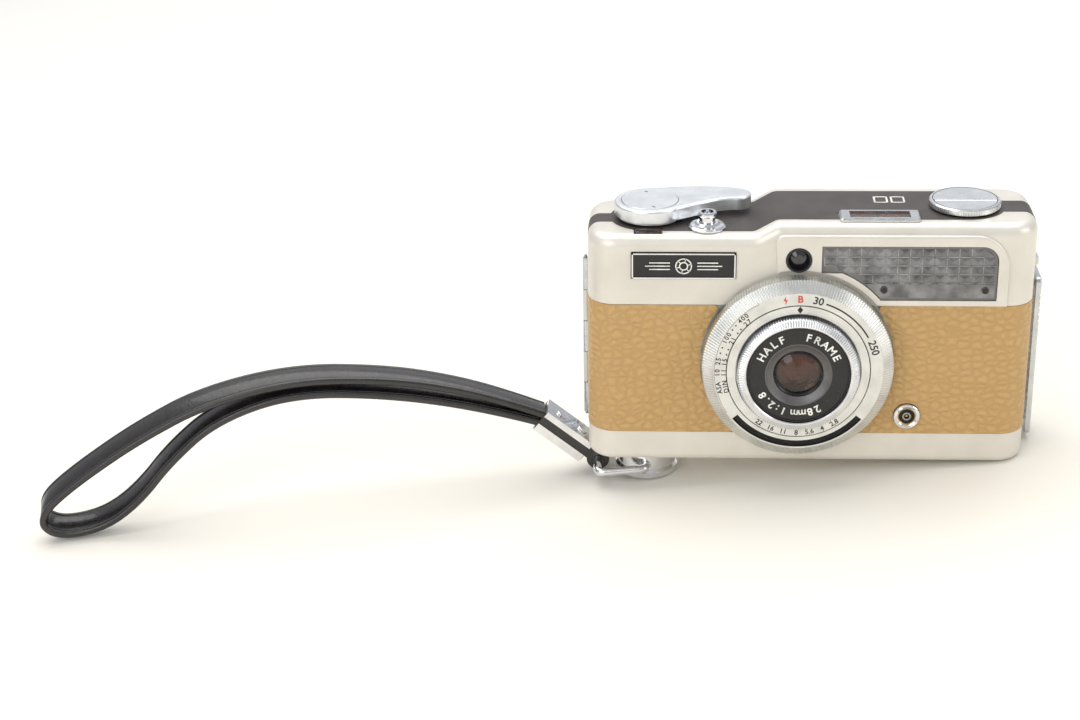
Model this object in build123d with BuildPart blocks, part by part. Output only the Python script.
"""Half frame 35 mm camera with a selenium meter, a folding rewind crank and a wrist strap.

The camera is modelled upright: X runs along the body, -Y is the lens side, +Z is up, and z = 0 is
the underside. At the end every piece is leaned onto the head of the strap screw, as it stands on a table.
The strap, its clip and its bail are drawn straight in the table's frame.
"""

import os
from math import asin, atan2, cos, degrees, hypot, radians, sin, tan

from build123d import *

os.makedirs("parts", exist_ok=True)

# Body shell
BODY_W = 112.0
BODY_D = 29.0
CORNER_R = 7.0
COVER_T = 1.0
LOW_TOP = 62.0
HIGH_TOP = 65.2
RAMP_START = -14.2
RAMP_END = -8.7
RAMP_R = 4.0
TOP_EDGE_R = 3.0
BOTTOM_EDGE_R = 2.0
LOWER_LINE = 8.3
UPPER_LINE = 43.9
LEATHER_T = 0.6
FRONT = -BODY_D / 2
BACK = BODY_D / 2
SIDE = BODY_W / 2
GAP = 0.3

# Back door
DOOR_SPLIT = 8.0
DOOR_LOW = 1.5
DOOR_HIGH = 48.6
HINGE_X = -57.1
HINGE_Y = 8.6
KNUCKLE_R = 0.85
HINGE_PIN_R = 0.4
RUN_FIT = 0.06

# Film transport
HUB_X = -40.4
CARTRIDGE_X = 38.7
CARTRIDGE_Y = -0.5
CHAMBER_R = 12.5
CHAMBER_LOW = 5.0
CHAMBER_HIGH = 50.4
CASTING_TOP = 52.0
CASTING_LOW = 1.3
CASTING_REAR = 7.8
SPROCKET_X = -20.2
SPROCKET_Y = 1.5
SPROCKET_R = 6.0
GEAR_Z = 52.8
GEAR_T = 1.6
WIND_TEETH = 36
SPROCKET_TEETH = 26
SHAFT_R = 2.5

# Lens and shutter, measured from the lens axis and along Y
LENS_X = -3.0
LENS_Z = 28.6
PROGRAM_R = 24.1
SCALE_Y = -21.5
INDEX_R = 17.95
RECESS_R = 15.8
FOCUS_R = 15.4
FOCUS_Y = -24.2
NAME_RING_R = 12.95
GUIDE_R = 10.25
CELL_R = 8.9
GLASS_R = 6.2
BLADE_T = 0.2
GATE_W = 17.0
GATE_H = 24.0

# Top plate fittings
HUB_R = 9.0
LEVER_LOW = 62.6
LEVER_TOP = 66.6
BUTTON_X = -26.0
BUTTON_Y = -7.5
KNOB_R = 8.9
KNOB_LOW = 65.5
KNOB_TOP = 67.3
METER_X = 16.8
METER_Y = -8.6
METER_PIVOT_Y = 3.0
FINDER_X = -3.3
FINDER_Z = 56.3
EYEPIECE_R = 4.6
STRIP_HALF = 10.15
PANEL_T = 1.0

# Strap screw, which stands on the table under the left end of the camera
SCREW_X = -41.0
SCREW_HEAD_R = 8.2
SCREW_HEAD_H = 8.6
THREAD_R = 3.175
THREAD_FIT = 0.06
BAIL_WIRE_R = 1.1
BAIL_HALF = 9.7

# Wrist strap, in the table's frame
STRAP_W = 7.6
STRAP_T = 2.0
CLIP_LENGTH = 18.5
CLIP_ANGLE = 44.0
CLIP_FOOT = (-54.9, 4.9)
CLIP_Y = 1.0
STRAND_OFFSET = 1.25
STRAP_TURN = 6.5
STRAP_OUT = [
    (-77.0, 24.0),
    (-91.0, 30.2),
    (-108.0, 35.2),
    (-131.0, 38.4),
    (-155.0, 33.8),
    (-174.0, 23.6),
    (-187.5, 15.4),
    (-196.3, 9.4),
    (-201.0, 5.7),
    (-200.4, 2.2),
    (-196.5, 1.15),
    (-189.0, 1.2),
    (-180.5, 3.7),
    (-172.0, 11.5),
    (-163.5, 24.0),
    (-151.0, 32.2),
    (-131.0, 35.8),
    (-107.0, 31.2),
    (-83.0, 23.4),
]

LENS_AXIS = Axis((LENS_X, 0, LENS_Z), (0, 1, 0))
LENS_HALF = Plane(origin=(LENS_X, 0, LENS_Z), x_dir=(1, 0, 0), z_dir=(0, 0, 1))


def upright(x, y):
    """Axis and profile plane of a piece turned about the vertical through (x, y)."""
    axis = Axis((x, y, 0), (0, 0, 1))
    half = Plane(origin=(x, y, 0), x_dir=(1, 0, 0), z_dir=(0, -1, 0))
    return axis, half


def along_y(x, z):
    """Axis and profile plane of a piece turned about a line along Y through (x, z)."""
    axis = Axis((x, 0, z), (0, 1, 0))
    half = Plane(origin=(x, 0, z), x_dir=(1, 0, 0), z_dir=(0, 0, 1))
    return axis, half


def front_plane(y, x=0.0, z=0.0):
    """A sketch plane that faces the lens side, with its local Y upwards."""
    return Plane(origin=(x, y, z), x_dir=(1, 0, 0), z_dir=(0, -1, 0))


def turn(line, *points, mode=Mode.ADD):
    """Turn a closed profile of (radius, distance along the axis) points about its axis."""
    axis, half = line
    with BuildSketch(half) as profile:
        with BuildLine():
            Polyline(*points, close=True)
        make_face()
    revolve(profile.sketch, axis=axis, mode=mode)


def ring(line, inner, outer, low, high, mode=Mode.ADD):
    """Turn a plain ring, or a disc when its inner radius is 0."""
    turn(line, (inner, low), (outer, low), (outer, high), (inner, high), mode=mode)


def block(x, y, z, mode=Mode.ADD):
    """A box from its lowest and highest value on each axis."""
    size = (x[1] - x[0], y[1] - y[0], z[1] - z[0])
    with Locations(((x[0] + x[1]) / 2, (y[0] + y[1]) / 2, (z[0] + z[1]) / 2)):
        Box(*size, mode=mode)


LENS = (LENS_AXIS, LENS_HALF)
HUB = upright(HUB_X, 0)
SPROCKET = upright(SPROCKET_X, SPROCKET_Y)
CARTRIDGE = upright(CARTRIDGE_X, CARTRIDGE_Y)
BUTTON = upright(BUTTON_X, BUTTON_Y)
HINGE = upright(HINGE_X, HINGE_Y)
SCREW = upright(SCREW_X, 0)
SYNC = along_y(25.4, 13.4)
RELEASE_PIN = upright(20, 0)


def body_outline(inset):
    """The camera's rounded plan, inset all round."""
    RectangleRounded(BODY_W - 2 * inset, BODY_D - 2 * inset, CORNER_R - inset)


def cover_blank(inset):
    """The space under the top cover's outside, inset all round, with its ramp and soft top edges."""
    low, high = LOW_TOP - inset, HIGH_TOP - inset
    with BuildPart() as blank:
        with BuildSketch(Plane.XY.offset(UPPER_LINE - 1)):
            body_outline(inset)
        extrude(amount=high - UPPER_LINE + 1)
        with BuildSketch(Plane.XZ):
            with BuildLine():
                Polyline(
                    (-SIDE - 5, low), (RAMP_START, low), (RAMP_END, high), (RAMP_END, high + 5),
                    (-SIDE - 5, high + 5), close=True,
                )
            make_face()
        extrude(amount=BODY_D, both=True, mode=Mode.SUBTRACT)
        bends = [e for e in blank.edges() if e.center().Z > low - 1 and abs(e.tangent_at(0).Y) > 0.99]
        fillet([e for e in bends if RAMP_START - 1 < e.center().X < RAMP_END + 1], RAMP_R)
        upward = [f for f in blank.faces() if f.normal_at(f.center()).Z > 0.1]
        rim = [e for f in upward for e in f.edges() if abs(e.tangent_at(0.5).Y) < 0.99
               or abs(e.center().X) > SIDE - inset - 1]
        fillet(rim, TOP_EDGE_R - inset)
    return blank.part


OUTSIDE = cover_blank(0)
INSIDE = cover_blank(COVER_T)

# ---- Covers ----

with BuildPart() as strip_region:
    with BuildSketch(Plane.XY.offset(53)):
        with Locations(((HUB_X + CARTRIDGE_X) / 2, 0)):
            Rectangle(CARTRIDGE_X - HUB_X, 2 * STRIP_HALF)
        with Locations((HUB_X, 0), (CARTRIDGE_X, 0)):
            Circle(STRIP_HALF)
        with Locations((-SIDE, -0.75)):
            Rectangle(28, 5.7)
        with Locations((SIDE, -0.5)):
            Rectangle(28, 7.6)
    extrude(amount=15)

STRIP_PROUD = 0.12
STRIP_SUNK = 0.35

with BuildPart() as top_strip:
    add(cover_blank(-STRIP_PROUD))
    add(cover_blank(STRIP_SUNK), mode=Mode.SUBTRACT)
    add(strip_region.part, mode=Mode.INTERSECT)
    ring(HUB, 0, SHAFT_R + 0.4, 55, 70, mode=Mode.SUBTRACT)
    ring(CARTRIDGE, 0, SHAFT_R + 0.4, 55, 70, mode=Mode.SUBTRACT)
    ring(BUTTON, 0, 3.2, 55, 70, mode=Mode.SUBTRACT)
    block((METER_X - 10.2, METER_X + 10.2), (METER_Y - 3.6, METER_Y + 3.6), (60, 70), mode=Mode.SUBTRACT)
    block((HUB_X - 4.1, HUB_X + 3.3), (-13, -8.7), (58, 64), mode=Mode.SUBTRACT)

WINDOW_LEFT = 2.5
WINDOW_RIGHT = 45.8
WINDOW_TOP = 59.9
WINDOW_LOW = 45.7
WINDOW_TOP_R = 4.0


def window_outline(grow):
    """The light cell's window: a long panel whose lower left corner sweeps round the lens."""
    with BuildLine() as outline:
        round_lens = CenterArc((LENS_X, LENS_Z), 26.6 - grow, 40, 26.5)
        left_top = (WINDOW_LEFT - grow, WINDOW_TOP + grow)
        right_top = (WINDOW_RIGHT + grow, WINDOW_TOP + grow)
        right_low = (WINDOW_RIGHT + grow, WINDOW_LOW - grow)
        foot = round_lens @ 0.0
        head = round_lens @ 1.0
        left_low = (WINDOW_LEFT - grow, head.Y)
        Polyline(head, left_low, left_top, right_top, right_low, (foot.X, right_low[1]), foot)
    pane = make_face(outline.edges())
    right_corners = pane.vertices().group_by(Axis.X)[-1].sort_by(Axis.Y)
    fillet(right_corners[-1], WINDOW_TOP_R + grow)


with BuildPart() as top_cover:
    add(OUTSIDE)
    # The raised panel round the finder and the light cell
    with BuildSketch(front_plane(FRONT + 1)) as panel_sketch:
        with BuildLine():
            skirt = CenterArc((LENS_X, LENS_Z), 24.6, 38.5, 64.5)
            Polyline(skirt @ 1.0, (-9.3, 62.8), (48.7, 62.8), (48.7, UPPER_LINE), skirt @ 0.0)
        make_face()
        fillet(panel_sketch.vertices().group_by(Axis.Y)[-1].sort_by(Axis.X)[-1], 8.5)
        fillet(panel_sketch.vertices().group_by(Axis.Y)[-1].sort_by(Axis.X)[0], 2)
    extrude(amount=PANEL_T + 1)
    fillet([e for e in top_cover.edges().filter_by(Plane.XZ) if e.center().Y < FRONT - PANEL_T / 2], 0.6)
    add(INSIDE, mode=Mode.SUBTRACT)
    block((-60, 60), (FRONT - 3, BACK + 3), (UPPER_LINE - 5, UPPER_LINE), mode=Mode.SUBTRACT)
    block((-60, 60), (DOOR_SPLIT, BACK + 3), (UPPER_LINE - 5, DOOR_HIGH + GAP), mode=Mode.SUBTRACT)
    # The recess that the dark strip lies in
    add((strip_region.part & OUTSIDE) - cover_blank(STRIP_SUNK), mode=Mode.SUBTRACT)
    # Openings
    ring(LENS, 0, 20.2, FRONT - 3, FRONT + 4, mode=Mode.SUBTRACT)
    with BuildSketch(front_plane(FRONT + 4)):
        window_outline(0.15)
    extrude(amount=8, mode=Mode.SUBTRACT)
    ring(along_y(FINDER_X, FINDER_Z), 0, 3.3, FRONT - 3, FRONT + 4, mode=Mode.SUBTRACT)
    ring(along_y(FINDER_X, FINDER_Z), 0, EYEPIECE_R + 0.1, BACK - 3, BACK + 3, mode=Mode.SUBTRACT)
    ring(HUB, 0, SHAFT_R + 0.4, 55, 70, mode=Mode.SUBTRACT)
    ring(CARTRIDGE, 0, SHAFT_R + 0.4, 55, 70, mode=Mode.SUBTRACT)
    ring(BUTTON, 0, 3.2, 55, 70, mode=Mode.SUBTRACT)
    block((METER_X - 7.6, METER_X + 7.6), (METER_Y - 2.4, METER_Y + 2.4), (60, 70), mode=Mode.SUBTRACT)
    block((HUB_X - 4.0, HUB_X + 3.2), (-12.1, -8.8), (58, 66), mode=Mode.SUBTRACT)
    # The name plate's shallow seat
    block((-45.1, -18.7), (FRONT - 1, FRONT + 0.5), (50.8, 58.1), mode=Mode.SUBTRACT)

COVER_SCREWS = [(-51.0, -6.5), (51.0, -6.5), (-28.0, 6.0), (33.0, 6.0)]

with BuildPart() as bottom_cover:
    with BuildSketch():
        body_outline(0)
    extrude(amount=LOWER_LINE)
    fillet(bottom_cover.faces().sort_by(Axis.Z)[0].edges(), BOTTOM_EDGE_R)
    with BuildSketch(Plane.XY.offset(COVER_T)):
        body_outline(COVER_T)
    extrude(amount=LOWER_LINE, mode=Mode.SUBTRACT)
    block((-60, 60), (DOOR_SPLIT, BACK + 3), (DOOR_LOW - GAP, LOWER_LINE + 1), mode=Mode.SUBTRACT)
    ring(SCREW, 0, 5.1, -1, 3, mode=Mode.SUBTRACT)
    ring(RELEASE_PIN, 0, 2.2, -1, 3, mode=Mode.SUBTRACT)
    for spot in COVER_SCREWS:
        ring(upright(*spot), 0, 1.35, -1, 3, mode=Mode.SUBTRACT)

# ---- Chassis ----

with BuildPart() as main_casting:
    with BuildSketch(Plane.XY.offset(CASTING_LOW)):
        body_outline(COVER_T + GAP)
    extrude(amount=CASTING_TOP - CASTING_LOW)
    with BuildSketch(Plane.XY.offset(LOWER_LINE + 0.1)):
        body_outline(LEATHER_T)
    extrude(amount=UPPER_LINE - LOWER_LINE - 0.2)
    block((-60, 60), (CASTING_REAR, BACK + 3), (0, 60), mode=Mode.SUBTRACT)
    # Take-up chamber, sprocket well and cartridge chamber, all open to the back
    for line, x, y, r in (
        (HUB, HUB_X, 0, CHAMBER_R),
        (SPROCKET, SPROCKET_X, SPROCKET_Y, 7.0),
        (CARTRIDGE, CARTRIDGE_X, CARTRIDGE_Y, CHAMBER_R),
    ):
        ring(line, 0, r, CHAMBER_LOW, CHAMBER_HIGH, mode=Mode.SUBTRACT)
        block((x - r, x + r), (y, BACK), (CHAMBER_LOW, CHAMBER_HIGH), mode=Mode.SUBTRACT)
    # Light box behind the lens, down to the half frame gate
    ring(LENS, 0, 12.0, FRONT - 1, -4, mode=Mode.SUBTRACT)
    block((LENS_X - GATE_W / 2, LENS_X + GATE_W / 2), (-5, BACK),
          (LENS_Z - GATE_H / 2, LENS_Z + GATE_H / 2), mode=Mode.SUBTRACT)
    # The film's shallow track between the rails
    block((-30, 30), (CASTING_REAR - 0.3, BACK), (LENS_Z - 17.6, LENS_Z + 17.6), mode=Mode.SUBTRACT)
    # Shaft holes, the tripod bush's seat and room for the small controls
    ring(HUB, 0, SHAFT_R + RUN_FIT, 45, 60, mode=Mode.SUBTRACT)
    ring(SPROCKET, 0, 1.5 + RUN_FIT, 2, 60, mode=Mode.SUBTRACT)
    ring(CARTRIDGE, 0, SHAFT_R + RUN_FIT, 45, 60, mode=Mode.SUBTRACT)
    ring(SCREW, 0, 5.05, 0, CHAMBER_LOW + 1, mode=Mode.SUBTRACT)
    ring(RELEASE_PIN, 0, 3.3, 0, 4.5, mode=Mode.SUBTRACT)
    ring(BUTTON, 0, 2.3, 46, 60, mode=Mode.SUBTRACT)
    ring(SYNC, 0, 2.6, FRONT - 1, -11.6, mode=Mode.SUBTRACT)

with BuildPart() as tripod_bush:
    ring(SCREW, THREAD_R, 5.0, 0, 4.9)
    ring(SCREW, 5.0, 5.6, COVER_T + 0.02, CASTING_LOW - 0.02)


def leather_shell(low, high):
    """The skin's ring round the body, from one height to another."""
    with BuildSketch(Plane.XY.offset(low)) as skin:
        body_outline(-0.1)
        inside_edge = offset(skin.sketch, -LEATHER_T - 0.05, mode=Mode.PRIVATE)
        add(inside_edge, mode=Mode.SUBTRACT)
    extrude(skin.sketch, amount=high - low)


LENS_CUT_R = 24.5
LEATHER_CORNER_R = 1.0
with BuildPart() as leather_left:
    leather_shell(LOWER_LINE + 0.1, UPPER_LINE - 0.1)
    block((LENS_X, 70), (-20, 20), (0, 60), mode=Mode.SUBTRACT)
    block((-70, 70), (DOOR_SPLIT - 0.6, 20), (0, 60), mode=Mode.SUBTRACT)
    ring(LENS, 0, LENS_CUT_R, -20, -8, mode=Mode.SUBTRACT)
    fillet(leather_left.edges().filter_by(Axis.Y).sort_by(Axis.X)[-2:], LEATHER_CORNER_R)

with BuildPart() as leather_right:
    leather_shell(LOWER_LINE + 0.1, UPPER_LINE - 0.1)
    block((-70, LENS_X), (-20, 20), (0, 60), mode=Mode.SUBTRACT)
    block((-70, 70), (DOOR_SPLIT - 0.6, 20), (0, 60), mode=Mode.SUBTRACT)
    ring(LENS, 0, LENS_CUT_R, -20, -8, mode=Mode.SUBTRACT)
    ring(SYNC, 0, 3.5, -20, -8, mode=Mode.SUBTRACT)
    fillet(leather_right.edges().filter_by(Axis.Y).sort_by(Axis.X)[:2], LEATHER_CORNER_R)

with BuildPart() as name_plate:
    block((-45.0, -18.8), (FRONT - 0.25, FRONT + 0.45), (50.9, 58.0))
    fillet(name_plate.edges().filter_by(Axis.Y), 0.6)

# ---- Finder and light cell ----

FINDER = along_y(FINDER_X, FINDER_Z)
with BuildPart() as finder_bezel:
    turn(FINDER, (2.7, -15.7), (3.2, -15.7), (3.2, -12.0), (2.0, -12.0), (2.0, -14.4), (2.7, -14.4))

with BuildPart() as finder_objective:
    turn(FINDER, (0, -15.1), (1.2, -14.98), (2.6, -14.45), (1.9, -14.38), (1.9, -13.2), (0, -13.2))

with BuildPart() as finder_prism:
    block((FINDER_X - 3.4, FINDER_X + 3.4), (-11.8, 8.4), (53.0, 59.6))
    chamfer(finder_prism.edges().filter_by(Axis.Z), 1.2)

with BuildPart() as eyepiece_frame:
    turn(FINDER, (2.9, 15.6), (4.0, 15.6), (EYEPIECE_R, 15.2), (EYEPIECE_R, 12.4), (2.9, 12.4))

with BuildPart() as eyepiece_lens:
    turn(FINDER, (0, 14.9), (1.5, 14.8), (2.85, 14.4), (2.85, 12.8), (0, 12.8))

with BuildPart() as cell_window:
    with BuildSketch(front_plane(-13.3)):
        window_outline(0)
    extrude(amount=1.8)
    for x in (18.0, 43.0):
        ring(along_y(x, 48.4), 0, 0.9, -15.7, -13.3)

with BuildPart() as selenium_cell:
    block((10.0, 45.0), (-12.7, -11.9), (53.4, 60.2))

# ---- Flash socket ----

with BuildPart() as sync_socket:
    turn(SYNC, (1.55, -15.0), (1.85, -15.0), (1.85, -14.4), (2.2, -14.4), (2.2, -15.2), (2.6, -15.5),
         (3.35, -15.2), (3.35, -13.95), (2.5, -13.95), (2.5, -12.0), (1.55, -12.0))

with BuildPart() as sync_contact:
    turn(SYNC, (0, -14.8), (0.3, -14.8), (0.45, -14.5), (0.45, -13.2), (1.5, -13.2), (1.5, -12.1), (0, -12.1))

# ---- Back door, swinging on a pin at the left ----

KNUCKLES = 5
KNUCKLE_LOW = 3.0
KNUCKLE_STEP = 8.9


def knuckles(first, attach):
    """Every second knuckle of the hinge, from the first one, each joined to its leaf by a short web."""
    for i in range(first, KNUCKLES, 2):
        low = KNUCKLE_LOW + i * KNUCKLE_STEP + 0.1
        high = low + KNUCKLE_STEP - 0.2
        ring(HINGE, 0, KNUCKLE_R, low, high)
        block((HINGE_X, attach[0]), attach[1:], (low, high))


with BuildPart() as hinge_leaf:
    knuckles(0, (-56.15, HINGE_Y - KNUCKLE_R - 0.1, HINGE_Y - 0.6))
    leaf_height = (KNUCKLE_LOW, KNUCKLE_LOW + KNUCKLES * KNUCKLE_STEP)
    block((-56.6, -56.12), (4.6, HINGE_Y - KNUCKLE_R - 0.1), leaf_height)
    ring(HINGE, 0, HINGE_PIN_R, 0, 60, mode=Mode.SUBTRACT)

with BuildPart() as hinge_pin:
    ring(HINGE, 0, HINGE_PIN_R, KNUCKLE_LOW - 0.6, KNUCKLE_LOW + KNUCKLES * KNUCKLE_STEP + 0.6)

DOOR_GAP = 0.2
DOOR_T = 1.4
with BuildPart() as back_door:
    with BuildSketch(Plane.XY.offset(DOOR_LOW)):
        body_outline(0)
    extrude(amount=DOOR_HIGH - DOOR_LOW)
    with BuildSketch(Plane.XY.offset(DOOR_LOW + DOOR_T)):
        body_outline(DOOR_T)
    extrude(amount=DOOR_HIGH - DOOR_LOW - 2 * DOOR_T, mode=Mode.SUBTRACT)
    block((-60, 60), (FRONT - 1, DOOR_SPLIT + DOOR_GAP), (0, 60), mode=Mode.SUBTRACT)
    # The seat of the skin on the outside
    with BuildSketch(Plane.XY.offset(LOWER_LINE)) as skin_seat:
        body_outline(-1)
        inner_seat = offset(skin_seat.sketch, -1.0 - LEATHER_T, mode=Mode.PRIVATE)
        add(inner_seat, mode=Mode.SUBTRACT)
    extrude(amount=UPPER_LINE - LOWER_LINE, mode=Mode.SUBTRACT)
    knuckles(1, (-55.1, HINGE_Y - 0.3, HINGE_Y + 0.5))
    ring(HINGE, 0, HINGE_PIN_R + RUN_FIT, 0, 60, mode=Mode.SUBTRACT)

with BuildPart() as door_leather:
    leather_shell(LOWER_LINE + 0.1, UPPER_LINE - 0.1)
    block((-70, 70), (-20, DOOR_SPLIT + DOOR_GAP + 0.7), (0, 60), mode=Mode.SUBTRACT)
    block((-70, -49), (-20, HINGE_Y + 1.4), (0, 60), mode=Mode.SUBTRACT)

with BuildPart() as pressure_plate:
    block((LENS_X - 24, LENS_X + 24), (8.35, 9.2), (LENS_Z - 15, LENS_Z + 15))
    fillet(pressure_plate.edges().filter_by(Axis.Y), 2)
    chamfer(pressure_plate.faces().sort_by(Axis.Y)[0].edges(), 0.3)

with BuildPart() as plate_spring:
    with BuildSketch(Plane.XY.offset(LENS_Z - 4)) as spring_leaf:
        with BuildLine():
            ThreePointArc((LENS_X - 20, 9.2), (LENS_X, 12.4), (LENS_X + 20, 9.2))
            ThreePointArc((LENS_X + 20, 9.5), (LENS_X, 12.7), (LENS_X - 20, 9.5))
            Line((LENS_X - 20, 9.5), (LENS_X - 20, 9.2))
            Line((LENS_X + 20, 9.2), (LENS_X + 20, 9.5))
        make_face()
    extrude(amount=8)

with BuildPart() as light_seals:
    block((CARTRIDGE_X - 9, CARTRIDGE_X + 9), (12.4, 13.05), (LENS_Z - 15, LENS_Z + 15))
    block((-54.0, -52.9), (8.5, 9.6), (DOOR_LOW + 2, DOOR_HIGH - 2))

LATCH_TRAVEL = 3.0
with BuildPart() as latch_bar:
    block((58.0, 59.4), (-1.5, 9.0), (2.0, 46.0))
    fillet(latch_bar.edges().filter_by(Axis.X), 1.2)
    fillet(latch_bar.faces().sort_by(Axis.X)[-1].edges(), 0.5)
    block((56.4, 58.0), (1.5, 6.0), (5.0, 43.0))
    for i in range(5):
        block((59.1, 60.0), (-2, 9.5), (33.6 + 1.8 * i, 34.5 + 1.8 * i), mode=Mode.SUBTRACT)
    # The tongue above it, on the same slide
    block((56.4, 57.4), (2.0, 5.5), (42.0, 50.4))
    block((57.4, 58.7), (2.0, 5.5), (48.4, 50.4))

# ---- Lens and shutter ----

with BuildPart() as shutter_case:
    turn(LENS, (9.0, -13.95), (19.8, -13.95), (19.8, -14.65), (23.4, -14.65), (23.4, -15.3),
         (INDEX_R, -15.3), (INDEX_R, SCALE_Y), (RECESS_R, SCALE_Y), (RECESS_R, -17.7), (16.9, -17.7),
         (16.9, -15.2), (9.0, -15.2))
    # The fixed front plate and the tube that the lens cell slides in
    turn(LENS, (9.0, -17.8), (RECESS_R + 0.1, -17.8), (RECESS_R + 0.1, -18.4),
         (GUIDE_R, -18.4), (GUIDE_R, -21.2), (9.0, -21.2))

with BuildPart() as rear_cell:
    turn(LENS, (6.1, -15.6), (CELL_R, -15.6), (CELL_R, -10.4), (5.0, -10.4), (5.0, -11.0), (6.1, -11.0))

with BuildPart() as rear_element:
    turn(LENS, (0, -14.2), (3, -14.4), (6.0, -15.0), (6.0, -11.2), (3, -10.8), (0, -10.6))

with BuildPart() as front_cell:
    turn(LENS, (GLASS_R + 0.1, -18.3), (CELL_R - RUN_FIT, -18.3), (CELL_R - RUN_FIT, -22.2),
         (NAME_RING_R, -22.2), (NAME_RING_R, -23.8),
         (12.5, -24.0), (8.1, -23.2), (7.7, -23.3), (GLASS_R + 0.1, -22.8))

with BuildPart() as front_element:
    turn(LENS, (0, -23.3), (2, -23.15), (4, -22.7), (GLASS_R, -21.8), (GLASS_R, -20.0),
         (3, -19.7), (0, -19.6))

with BuildPart() as focus_ring:
    turn(LENS, (NAME_RING_R + 0.1, -24.0), (13.4, FOCUS_Y), (15.0, FOCUS_Y), (FOCUS_R, -23.8),
         (FOCUS_R, -18.7), (GUIDE_R + 0.08, -18.7), (GUIDE_R + 0.08, -20.6), (NAME_RING_R + 0.1, -20.6))

with BuildPart() as program_ring:
    turn(LENS, (INDEX_R + 0.1, SCALE_Y), (21.2, SCALE_Y), (PROGRAM_R, -19.4), (PROGRAM_R, -15.7),
         (21.2, -15.7), (21.2, -21.0), (18.6, -21.0), (18.6, -15.7), (INDEX_R + 0.1, -15.7))
    with BuildSketch(front_plane(-20.9, LENS_X, LENS_Z)):
        with BuildLine():
            outer = CenterArc((0, 0), 20.8, 219, 106)
            inner = CenterArc((0, 0), 19.1, 219, 106)
            Line(outer @ 0, inner @ 0)
            Line(outer @ 1, inner @ 1)
        make_face()
    extrude(amount=1.5, mode=Mode.SUBTRACT)

with BuildPart() as film_speed_disc:
    ring(LENS, 18.8, 21.0, -20.8, -20.2)

BLADE_PIVOT = (12.3, 2.0)


def shutter_blade(y, side):
    """One leaf of the shutter: half the light's path and an arm to its pivot on one side."""
    with BuildSketch(front_plane(y, LENS_X, LENS_Z)) as leaf:
        Circle(7.0)
        with Locations((0, -side * (5 + 0.4))):
            Rectangle(20, 10, mode=Mode.SUBTRACT)
        with BuildLine():
            Polyline((-side * 2, side * 0.2), (-side * 2, side * 5.5), (-side * BLADE_PIVOT[0], side * 3.3),
                     (-side * BLADE_PIVOT[0], side * 0.7), close=True)
        make_face()
        with Locations((-side * BLADE_PIVOT[0], side * BLADE_PIVOT[1])):
            Circle(1.3)
            Circle(0.6, mode=Mode.SUBTRACT)
    extrude(leaf.sketch, amount=BLADE_T)


with BuildPart() as shutter_blade_upper:
    shutter_blade(-16.0, 1)

with BuildPart() as shutter_blade_lower:
    shutter_blade(-16.6, -1)

# ---- Winding ----

PITCH = hypot(SPROCKET_X - HUB_X, SPROCKET_Y)
GEAR_MODULE = 2 * PITCH / (WIND_TEETH + SPROCKET_TEETH)
MESH_ANGLE = degrees(atan2(SPROCKET_Y, SPROCKET_X - HUB_X))


def gear(x, y, teeth, first_tooth, bore):
    """A spur wheel with straight-sided teeth, one of them centred on the angle first_tooth."""
    pitch_r = GEAR_MODULE * teeth / 2
    tip = pitch_r + 0.75 * GEAR_MODULE
    root = pitch_r - 1.1 * GEAR_MODULE
    step = 360 / teeth
    points = []
    for i in range(teeth):
        for r, share in ((root, -0.33), (tip, -0.13), (tip, 0.13), (root, 0.33)):
            a = radians(first_tooth + (i + share) * step)
            points.append((r * cos(a), r * sin(a)))
    with BuildSketch(Plane(origin=(x, y, GEAR_Z))) as wheel:
        with BuildLine():
            Polyline(*points, close=True)
        make_face()
        Circle(bore, mode=Mode.SUBTRACT)
    extrude(wheel.sketch, amount=GEAR_T)


with BuildPart() as wind_shaft:
    gear(HUB_X, 0, WIND_TEETH, MESH_ANGLE, SHAFT_R - 0.5)
    ring(HUB, 0, SHAFT_R, CHAMBER_HIGH - 3, LEVER_LOW)
    ring(HUB, 0, 1.4, 8, CHAMBER_HIGH - 3)

SPROCKET_PINS = 8
with BuildPart() as sprocket:
    gear(SPROCKET_X, SPROCKET_Y, SPROCKET_TEETH, MESH_ANGLE + 180 + 180 / SPROCKET_TEETH, 1.0)
    ring(SPROCKET, 0, 1.5, 3.0, GEAR_Z + GEAR_T + 0.4)
    for low in (LENS_Z - 17.4, LENS_Z + 11.4):
        ring(SPROCKET, 1.0, SPROCKET_R, low, low + 6)
    ring(SPROCKET, 1.0, 4.2, LENS_Z - 12, LENS_Z + 12)
    for level in (LENS_Z - 14.2, LENS_Z + 14.2):
        with Locations((SPROCKET_X, SPROCKET_Y, level)):
            with PolarLocations(SPROCKET_R, SPROCKET_PINS):
                Box(1.2, 1.2, 1.6)

with BuildPart() as takeup_spool:
    ring(HUB, 1.5, 8.5, 9.0, 11.0)
    ring(HUB, 1.5, 7.0, 11.0, 45.0)
    ring(HUB, 1.5, 8.5, 45.0, 47.0)
    for side in (1, -1):
        block((HUB_X - 0.6, HUB_X + 0.6), (side * 4.5 - 3, side * 4.5 + 3), (20, 38), mode=Mode.SUBTRACT)

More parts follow.
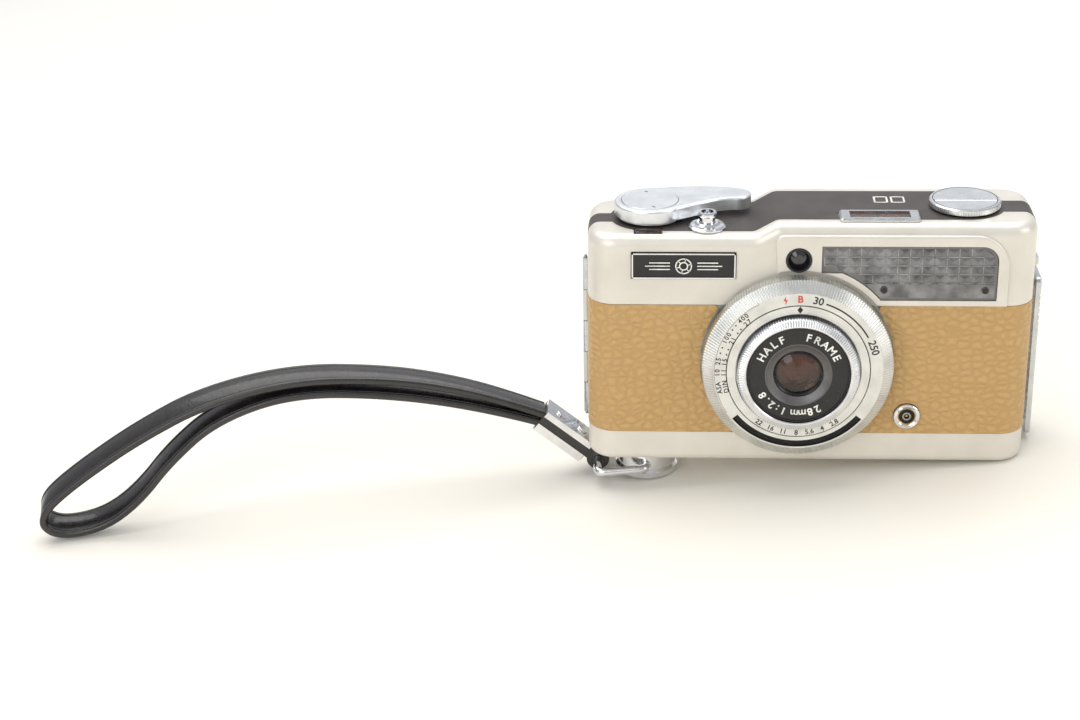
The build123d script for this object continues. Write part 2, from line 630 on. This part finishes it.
with BuildPart() as wind_lever:
    with BuildSketch(Plane.XY.offset(LEVER_LOW + 0.7)):
        with Locations((HUB_X, 0)):
            Circle(HUB_R)
        with BuildLine():
            Spline((HUB_X + 6.6, -6.1), (-30.3, -3.6), (-26.3, -1.2), (-22.4, 0.9), (-18.4, 1.5))
            ThreePointArc((-18.4, 1.5), (-14.7, 4.7), (-17.2, 9.0))
            Spline((-17.2, 9.0), (-22.5, 10.2), (-28.5, 10.5), (-35.0, 9.9), (HUB_X, HUB_R))
            Line((HUB_X, HUB_R), (HUB_X, 0))
            Line((HUB_X, 0), (HUB_X + 6.6, -6.1))
        make_face()
    extrude(amount=LEVER_TOP - LEVER_LOW - 0.7)
    fillet(wind_lever.faces().sort_by(Axis.Z)[-1].edges(), 0.6)
    ring(HUB, 0, 8.2, LEVER_LOW, LEVER_LOW + 0.8)
    ring(HUB, 0, 7.35, LEVER_TOP - 0.8, LEVER_TOP + 1, mode=Mode.SUBTRACT)

with BuildPart() as lever_cap:
    ring(HUB, 0, 7.25, LEVER_TOP - 0.8, LEVER_TOP + 0.15)
    chamfer(lever_cap.faces().sort_by(Axis.Z)[-1].edges(), 0.15)
    with Locations((HUB_X - 1.0, 5.6, LEVER_TOP), (HUB_X + 1.0, -5.6, LEVER_TOP)):
        Cylinder(0.45, 1.2, mode=Mode.SUBTRACT)

with BuildPart() as counter_dial:
    ring(HUB, SHAFT_R + 0.6, 12.2, 59.4, 60.0)

with BuildPart() as counter_window:
    with BuildSketch(Plane.XY.offset(58.3)):
        with Locations((HUB_X - 0.4, -10.45)):
            RectangleRounded(6.9, 3.0, 0.8)
    extrude(amount=LOW_TOP + 0.25 - 58.3)
    block((HUB_X - 5, HUB_X + 5), (-14, -7), (58, 60.4), mode=Mode.SUBTRACT)
    fillet(counter_window.faces().sort_by(Axis.Z)[-1].edges(), 0.3)

# ---- Shutter release ----

with BuildPart() as release_collar:
    turn(BUTTON, (2.1, 60.8), (3.1, 60.8), (3.1, 62.15), (4.7, 62.15), (4.7, 62.5), (4.2, 62.95), (3.2, 63.1),
         (2.7, 63.6), (2.1, 63.6))

with BuildPart() as release_button:
    turn(BUTTON, (0, 50.0), (1.3, 50.0), (1.3, 60.0), (2.0, 60.0), (2.0, 65.0), (2.35, 65.5), (2.35, 66.0),
         (2.1, 66.3), (1.55, 66.3), (1.55, 63.3), (0, 62.6))

# ---- Meter ----

BEZEL_TOP = HIGH_TOP + 0.9
with BuildPart() as meter_bezel:
    block((METER_X - 10.0, METER_X + 10.0), (METER_Y - 3.4, METER_Y + 3.4), (HIGH_TOP + 0.02, BEZEL_TOP))
    fillet(meter_bezel.edges().filter_by(Axis.Z), 0.8)
    chamfer(meter_bezel.faces().sort_by(Axis.Z)[-1].edges(), 0.45)
    block((METER_X - 7.5, METER_X + 7.5), (METER_Y - 2.2, METER_Y + 2.2), (60, 70), mode=Mode.SUBTRACT)
    block((-60, 60), (-20, FRONT + 2.4), (60, 70), mode=Mode.SUBTRACT)

with BuildPart() as meter_glass:
    block((METER_X - 7.4, METER_X + 7.4), (METER_Y - 2.1, METER_Y + 2.1), (HIGH_TOP - 0.3, HIGH_TOP + 0.4))

with BuildPart() as meter_movement:
    block((METER_X - 7.2, METER_X + 7.2), (METER_Y - 2.2, METER_Y + 2.2), (61.6, 62.2))
    ring(upright(METER_X, METER_PIVOT_Y), 0, 5.0, 55.0, 61.2)

with BuildPart() as meter_needle:
    ring(upright(METER_X, METER_PIVOT_Y), 0, 0.9, 61.4, 63.9)
    block((METER_X - 0.2, METER_X + 0.2), (METER_Y - 1.6, METER_PIVOT_Y), (63.4, 63.7))

with BuildPart() as match_pointer:
    ring(upright(METER_X, METER_PIVOT_Y), 1.1, 1.7, 62.4, 62.8)
    block((METER_X - 0.25, METER_X + 0.25), (METER_Y - 1.0, METER_PIVOT_Y - 1.2), (62.4, 62.8))
    with Locations((METER_X, METER_Y - 0.6, 62.6)):
        Cylinder(0.9, 0.4)
        Cylinder(0.5, 0.4, mode=Mode.SUBTRACT)

# ---- Rewind ----

with BuildPart() as rewind_shaft:
    ring(CARTRIDGE, 0, SHAFT_R, CHAMBER_HIGH - 4, KNOB_LOW)
    block((CARTRIDGE_X - 0.6, CARTRIDGE_X + 0.6), (CARTRIDGE_Y - 2.2, CARTRIDGE_Y + 2.2),
          (CHAMBER_HIGH - 7, CHAMBER_HIGH - 4))

CRANK_R = 8.1
CRANK_SPLIT = -1.0
CRANK_RELIEF = 0.6
CRANK_PIN_R = 0.42
CRANK_PIN_DEPTH = 0.45
with BuildPart() as rewind_knob:
    turn(CARTRIDGE, (0, KNOB_LOW), (KNOB_R - 0.3, KNOB_LOW), (KNOB_R, KNOB_LOW + 0.3),
         (KNOB_R, KNOB_TOP - 0.3),
         (KNOB_R - 0.3, KNOB_TOP), (CRANK_R + 0.1, KNOB_TOP), (CRANK_R + 0.1, KNOB_TOP - 1.1), (0, KNOB_TOP - 1.1))

    # The fixed half of the knob's top, beside the crank
    with BuildSketch(Plane.XY.offset(KNOB_TOP - 1.2)):
        with Locations((CARTRIDGE_X, CARTRIDGE_Y)):
            Circle(CRANK_R - 0.1)
        with Locations((CARTRIDGE_X, CARTRIDGE_Y + CRANK_SPLIT - CRANK_RELIEF + 10)):
            Rectangle(20, 20, mode=Mode.SUBTRACT)
    extrude(amount=1.18)

with BuildPart() as rewind_crank:
    with BuildSketch(Plane.XY.offset(KNOB_TOP - 1.0)):
        with Locations((CARTRIDGE_X, CARTRIDGE_Y)):
            Circle(CRANK_R - 0.1)
        with Locations((CARTRIDGE_X, CARTRIDGE_Y + CRANK_SPLIT + 0.15 - 10)):
            Rectangle(20, 20, mode=Mode.SUBTRACT)
    extrude(amount=0.98)
    # The barrel that it folds on
    barrel = Location((CARTRIDGE_X, CARTRIDGE_Y + CRANK_SPLIT, KNOB_TOP - CRANK_PIN_DEPTH), (0, 90, 0))
    with Locations(barrel):
        Cylinder(CRANK_PIN_R, 2 * CRANK_R - 0.8)

# ---- Underside ----

with BuildPart() as rewind_release:
    turn(RELEASE_PIN, (0, 0.1), (1.8, 0.1), (2.1, 0.4), (2.1, 1.3), (3.1, 1.3), (3.1, 2.0), (0, 2.0))

with BuildPart() as cover_screws:
    for x, y in COVER_SCREWS:
        ring(upright(x, y), 0, 1.3, 0.02, 1.25)
        block((x - 1.2, x + 1.2), (y - 0.2, y + 0.2), (-0.2, 0.4), mode=Mode.SUBTRACT)

with BuildPart() as strap_screw:
    ring(SCREW, 0, THREAD_R - THREAD_FIT, -1.0, 4.2)
    turn(SCREW, (0, -0.3), (6.2, -0.3), (7.6, -1.0), (7.6, -6.4), (SCREW_HEAD_R, -7.2),
         (SCREW_HEAD_R, -SCREW_HEAD_H), (6.0, -SCREW_HEAD_H), (5.6, -SCREW_HEAD_H + 0.6), (0, -SCREW_HEAD_H + 0.6))
    ring(SCREW, 0, THREAD_R, -SCREW_HEAD_H - 1, -2.6, mode=Mode.SUBTRACT)
    ring(along_y(SCREW_X, -5.0), 0, BAIL_WIRE_R + RUN_FIT, -12, -5.4, mode=Mode.SUBTRACT)
    ring(along_y(SCREW_X, -5.0), 0, BAIL_WIRE_R + RUN_FIT, 5.4, 12, mode=Mode.SUBTRACT)

# ---- Stance: the screw's head and the far bottom edge both touch the table ----

heel = (SCREW_X + SCREW_HEAD_R, -SCREW_HEAD_H)
edge_centre = (SIDE - BOTTOM_EDGE_R, BOTTOM_EDGE_R)
reach = (edge_centre[0] - heel[0], edge_centre[1] - heel[1])
LEAN = atan2(reach[1], reach[0]) - asin(BOTTOM_EDGE_R / hypot(*reach))
LIFT = heel[0] * sin(LEAN) - heel[1] * cos(LEAN)
STANCE = Location((0, 0, LIFT)) * Location((0, 0, 0), (0, degrees(LEAN), 0))


def on_table(x, z):
    """Where a point of the upright camera's XZ plane goes when the camera is leaned."""
    return x * cos(LEAN) + z * sin(LEAN), LIFT - x * sin(LEAN) + z * cos(LEAN)


# ---- Wrist strap, in the table's frame ----

BAIL_PIVOT = on_table(SCREW_X, -5.0)
along_clip = (-cos(radians(CLIP_ANGLE)), sin(radians(CLIP_ANGLE)))
across_clip = (sin(radians(CLIP_ANGLE)), cos(radians(CLIP_ANGLE)))
CLIP = Plane(
    origin=(CLIP_FOOT[0], CLIP_Y, CLIP_FOOT[1]),
    x_dir=(along_clip[0], 0, along_clip[1]),
    z_dir=(across_clip[0], 0, across_clip[1]),
)
CROSSBAR = (CLIP_FOOT[0] + 0.6, CLIP_FOOT[1] - 0.5)

with BuildPart() as strap_bail:
    with BuildLine() as bail_wire:
        FilletPolyline(
            (BAIL_PIVOT[0], -5.6, BAIL_PIVOT[1]),
            (BAIL_PIVOT[0], -BAIL_HALF, BAIL_PIVOT[1]),
            (CROSSBAR[0], -BAIL_HALF, CROSSBAR[1]),
            (CROSSBAR[0], BAIL_HALF, CROSSBAR[1]),
            (BAIL_PIVOT[0], BAIL_HALF, BAIL_PIVOT[1]),
            (BAIL_PIVOT[0], 5.6, BAIL_PIVOT[1]),
            radius=1.8,
        )
    with BuildSketch(Plane(origin=bail_wire.line @ 0, z_dir=bail_wire.line % 0)):
        Circle(BAIL_WIRE_R)
    sweep()

PLATE_T = 0.7
PLATE_OFFSET = 2 * STRAND_OFFSET + 0.05
CLIP_START = 3.0
with BuildPart() as strap_clip:
    for side in (1, -1):
        level = side * (PLATE_OFFSET + PLATE_T / 2)
        with BuildSketch(CLIP.offset(level - PLATE_T / 2)):
            with Locations(((CLIP_START + CLIP_LENGTH) / 2, 0)):
                RectangleRounded(CLIP_LENGTH - CLIP_START, STRAP_W + 0.4, 0.8)
        extrude(amount=PLATE_T)

with BuildPart() as clip_rivets:
    for along in (7.0, 14.0):
        with BuildSketch(CLIP.offset(-PLATE_OFFSET - PLATE_T - 0.4)):
            with Locations((along, 0)):
                Circle(1.5)
        extrude(amount=0.4)
        with BuildSketch(CLIP.offset(PLATE_OFFSET + PLATE_T)):
            with Locations((along, 0)):
                Circle(1.5)
        extrude(amount=0.5)
    fillet(clip_rivets.edges().filter_by(GeomType.CIRCLE), 0.15)

with BuildPart() as strap_tongue:
    with BuildSketch(CLIP.offset(-PLATE_OFFSET)):
        with Locations(((CLIP_START + CLIP_LENGTH) / 2, 0)):
            Rectangle(CLIP_LENGTH - CLIP_START, STRAP_W)
    extrude(amount=2 * PLATE_OFFSET)
    ring(along_y(*CROSSBAR), 0, BAIL_WIRE_R + 1.9, CLIP_Y - 2.6, CLIP_Y + 2.6)
    with BuildSketch(CLIP.offset(-1.6)):
        with Locations((2.0, 0)):
            Rectangle(4.0, 5.2)
    extrude(amount=3.2)
    ring(along_y(*CROSSBAR), 0, BAIL_WIRE_R + RUN_FIT, CLIP_Y - 4, CLIP_Y + 4, mode=Mode.SUBTRACT)

# The strap's centre line lies in one upright plane, turned slightly towards the lens side.
MOUTH = (CLIP_FOOT[0] + CLIP_LENGTH * along_clip[0], CLIP_FOOT[1] + CLIP_LENGTH * along_clip[1])


def strap_point(x, z):
    """A point of the strap's plane in the table's frame."""
    return (x, CLIP_Y + (x - MOUTH[0]) * tan(radians(STRAP_TURN)), z)


upper_end = (MOUTH[0] + STRAND_OFFSET * across_clip[0], MOUTH[1] + STRAND_OFFSET * across_clip[1])
lower_end = (MOUTH[0] - STRAND_OFFSET * across_clip[0], MOUTH[1] - STRAND_OFFSET * across_clip[1])
route = [strap_point(*p) for p in [upper_end, *STRAP_OUT, lower_end]]
corner_radii = []
for before, here, after in zip(route, route[1:], route[2:]):
    first, second = Vector(*here) - Vector(*before), Vector(*after) - Vector(*here)
    half_turn = radians(first.get_angle(second)) / 2
    corner_radii.append(0.45 * min(first.length, second.length) / tan(half_turn))
print("strap radii, mm:", [round(r, 1) for r in corner_radii])

with BuildPart() as strap:
    with BuildLine() as strap_line:
        FilletPolyline(*route, radius=corner_radii)
    side_way = Vector(sin(radians(STRAP_TURN)), -cos(radians(STRAP_TURN)), 0)
    with BuildSketch(Plane(origin=strap_line.line @ 0, x_dir=side_way, z_dir=strap_line.line % 0)):
        Rectangle(STRAP_W, STRAP_T)
    sweep()
strap_length = sum(edge.length for edge in strap_line.edges())
print("strap length, mm:", round(strap_length, 1), "volume over section times length:",
      round(strap.part.volume / (strap_length * STRAP_W * STRAP_T), 3))

# ---- Hand over: lean the camera, centre it over the origin and write every piece ----

camera = {
    "main_casting": main_casting, "top_cover": top_cover, "bottom_cover": bottom_cover,
    "top_strip": top_strip, "leather_left": leather_left, "leather_right": leather_right,
    "name_plate": name_plate, "finder_bezel": finder_bezel, "finder_objective": finder_objective,
    "finder_prism": finder_prism, "eyepiece_frame": eyepiece_frame, "eyepiece_lens": eyepiece_lens,
    "cell_window": cell_window, "selenium_cell": selenium_cell,
    "sync_socket": sync_socket, "sync_contact": sync_contact, "tripod_bush": tripod_bush,
    "cover_screws": cover_screws, "hinge_leaf": hinge_leaf, "hinge_pin": hinge_pin,
    "back_door": back_door, "door_leather": door_leather, "pressure_plate": pressure_plate,
    "plate_spring": plate_spring, "light_seals": light_seals, "latch_bar": latch_bar,
    "shutter_case": shutter_case,
    "rear_cell": rear_cell, "rear_element": rear_element, "front_cell": front_cell,
    "front_element": front_element, "focus_ring": focus_ring,
    "program_ring": program_ring, "film_speed_disc": film_speed_disc,
    "shutter_blade_upper": shutter_blade_upper, "shutter_blade_lower": shutter_blade_lower,
    "wind_shaft": wind_shaft,
    "sprocket": sprocket, "takeup_spool": takeup_spool, "wind_lever": wind_lever,
    "lever_cap": lever_cap, "counter_dial": counter_dial, "counter_window": counter_window,
    "release_collar": release_collar, "release_button": release_button, "meter_bezel": meter_bezel,
    "meter_glass": meter_glass, "meter_movement": meter_movement, "meter_needle": meter_needle,
    "match_pointer": match_pointer, "rewind_shaft": rewind_shaft, "rewind_knob": rewind_knob,
    "rewind_crank": rewind_crank, "rewind_release": rewind_release,
    "strap_screw": strap_screw,
}
strap_set = {
    "strap_bail": strap_bail, "strap_clip": strap_clip, "clip_rivets": clip_rivets,
    "strap_tongue": strap_tongue, "strap": strap,
}
standing = {name: STANCE * piece.part for name, piece in camera.items()}
boxes = [piece.bounding_box() for piece in standing.values()]
middle_x = (min(box.min.X for box in boxes) + max(box.max.X for box in boxes)) / 2
middle_y = (min(box.min.Y for box in boxes) + max(box.max.Y for box in boxes)) / 2
CENTRE = Location((-middle_x, -middle_y, 0))
print("pieces:", len(camera) + len(strap_set), "origin shift, mm:", round(-middle_x, 3), round(-middle_y, 3))
print("lowest point, mm:", round(min(box.min.Z for box in boxes), 3))
for name, piece in {**standing, **{n: p.part for n, p in strap_set.items()}}.items():
    placed = CENTRE * piece
    placed.label = name
    export_step(placed, f"parts/{name}.step")
